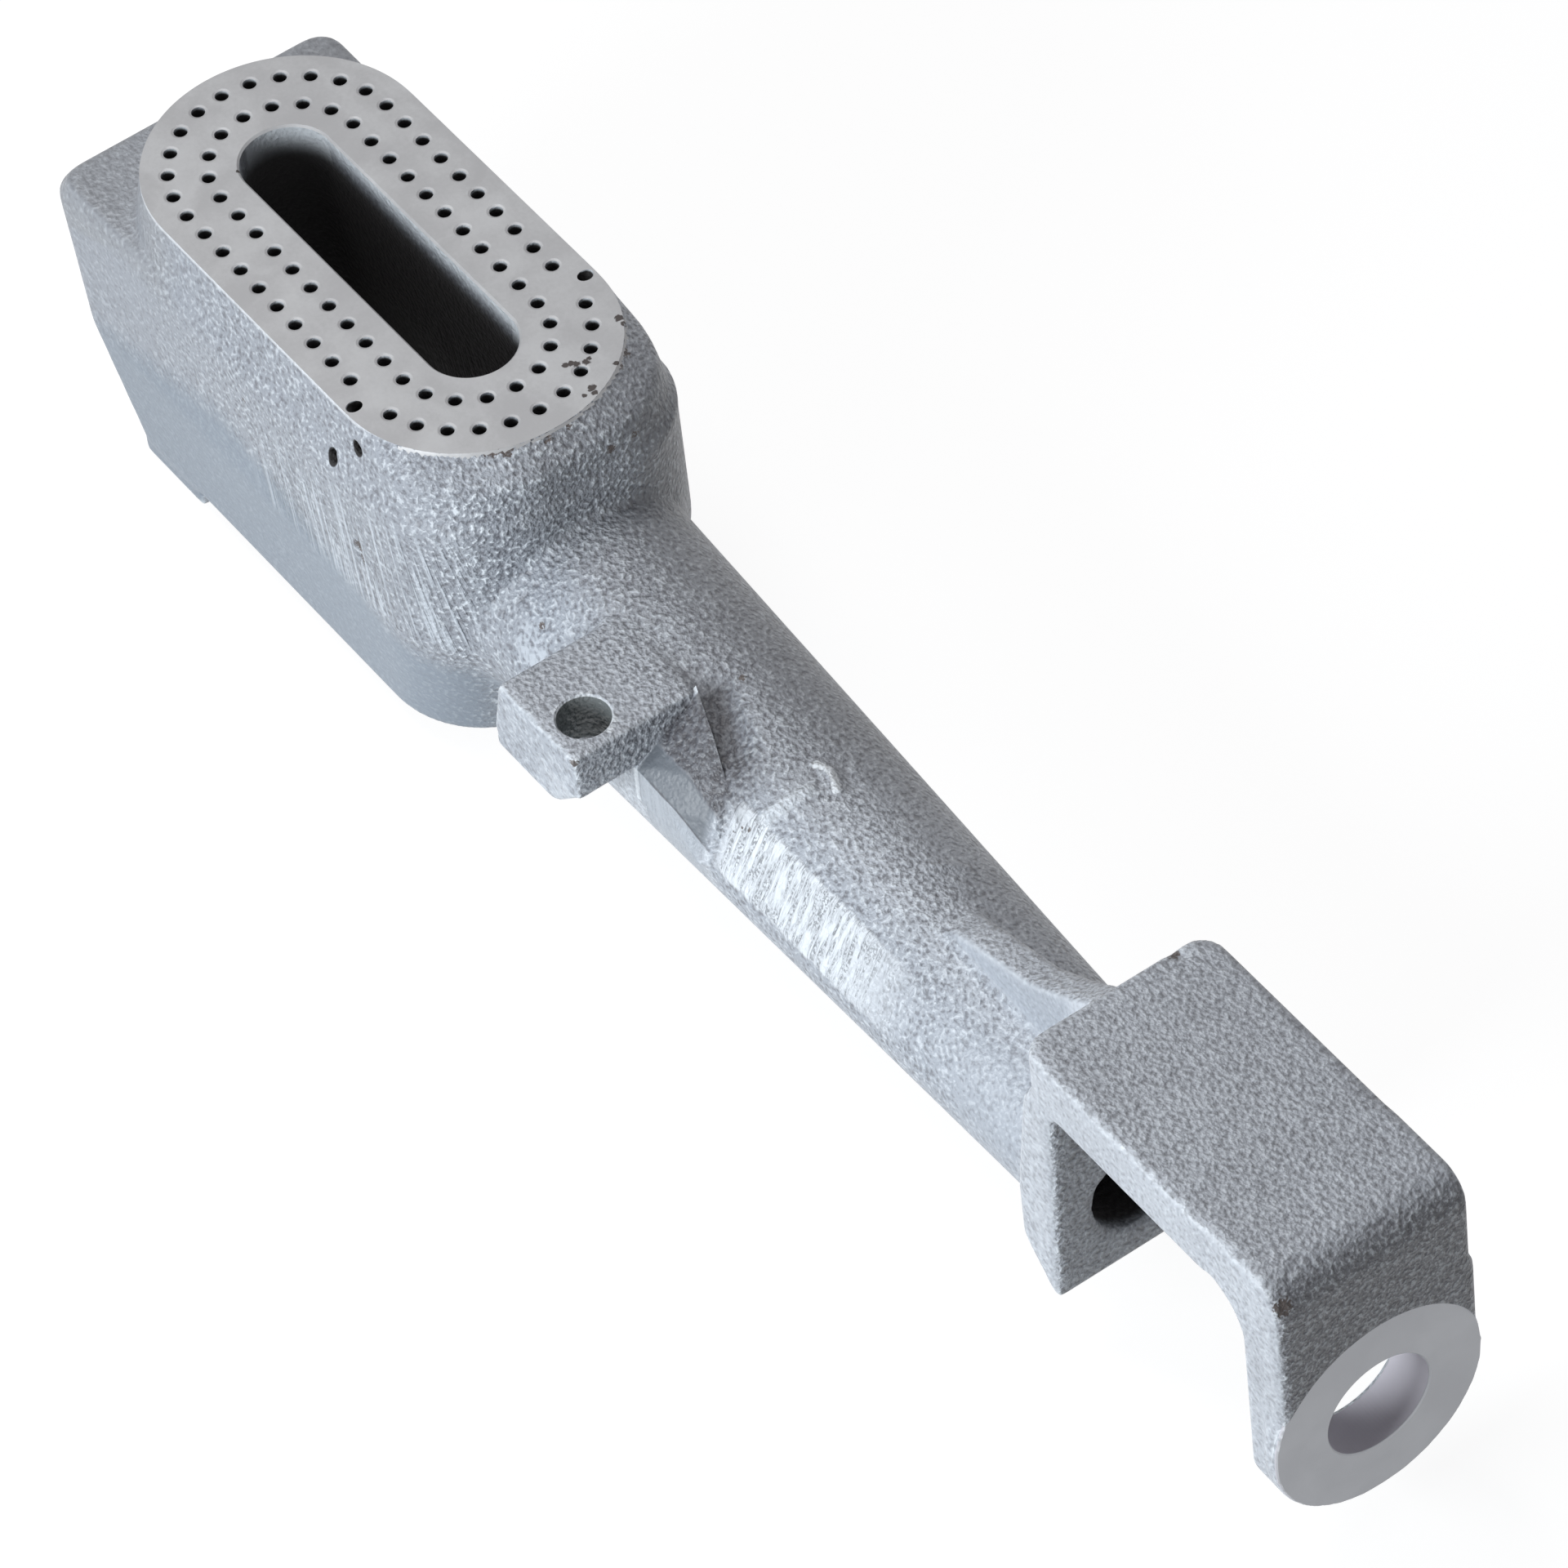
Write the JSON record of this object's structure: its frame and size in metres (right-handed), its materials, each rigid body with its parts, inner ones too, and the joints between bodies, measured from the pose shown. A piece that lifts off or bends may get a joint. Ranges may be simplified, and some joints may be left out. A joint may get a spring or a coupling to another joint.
{
  "type": "vertical gas burner",
  "caption": "Cast burner with an oval deck of drilled gas ports round an air slot, a long mixing tube and a bent bracket that holds the gas injector in front of the tube's mouth",
  "frame": {"origin": "centre of the injector bore where it meets the machined seat on the outside of the bracket leg", "axes": "+X along the injector bore, out of the seat and away from the head; +Z out of the port deck; +Y completes the right-handed frame, towards the side away from the ignition lug"},
  "size_m": [0.2706, 0.0496, 0.0584],
  "materials": {
    "painted_casting": "sand-cast grain under a thin silver-grey paint",
    "machined_face": "ground flat, matt"
  },
  "bodies": {
    "root": {"port_deck": "machined_face", "slot_collar": "painted_casting", "head_near_wall": "painted_casting", "head_left_wall": "painted_casting", "head_right_wall": "painted_casting", "head_far_wall": "painted_casting", "head_floor": "painted_casting", "foot_pad": "painted_casting", "neck": "painted_casting", "mixing_tube": "painted_casting", "mouth_flange": "painted_casting", "bracket_plate": "painted_casting", "bracket_bend": "painted_casting", "bracket_leg": "painted_casting", "injector_seat": "machined_face", "tube_rib": "painted_casting", "ignition_lug": "painted_casting", "lug_root": "painted_casting"}
  },
  "joints": []
}
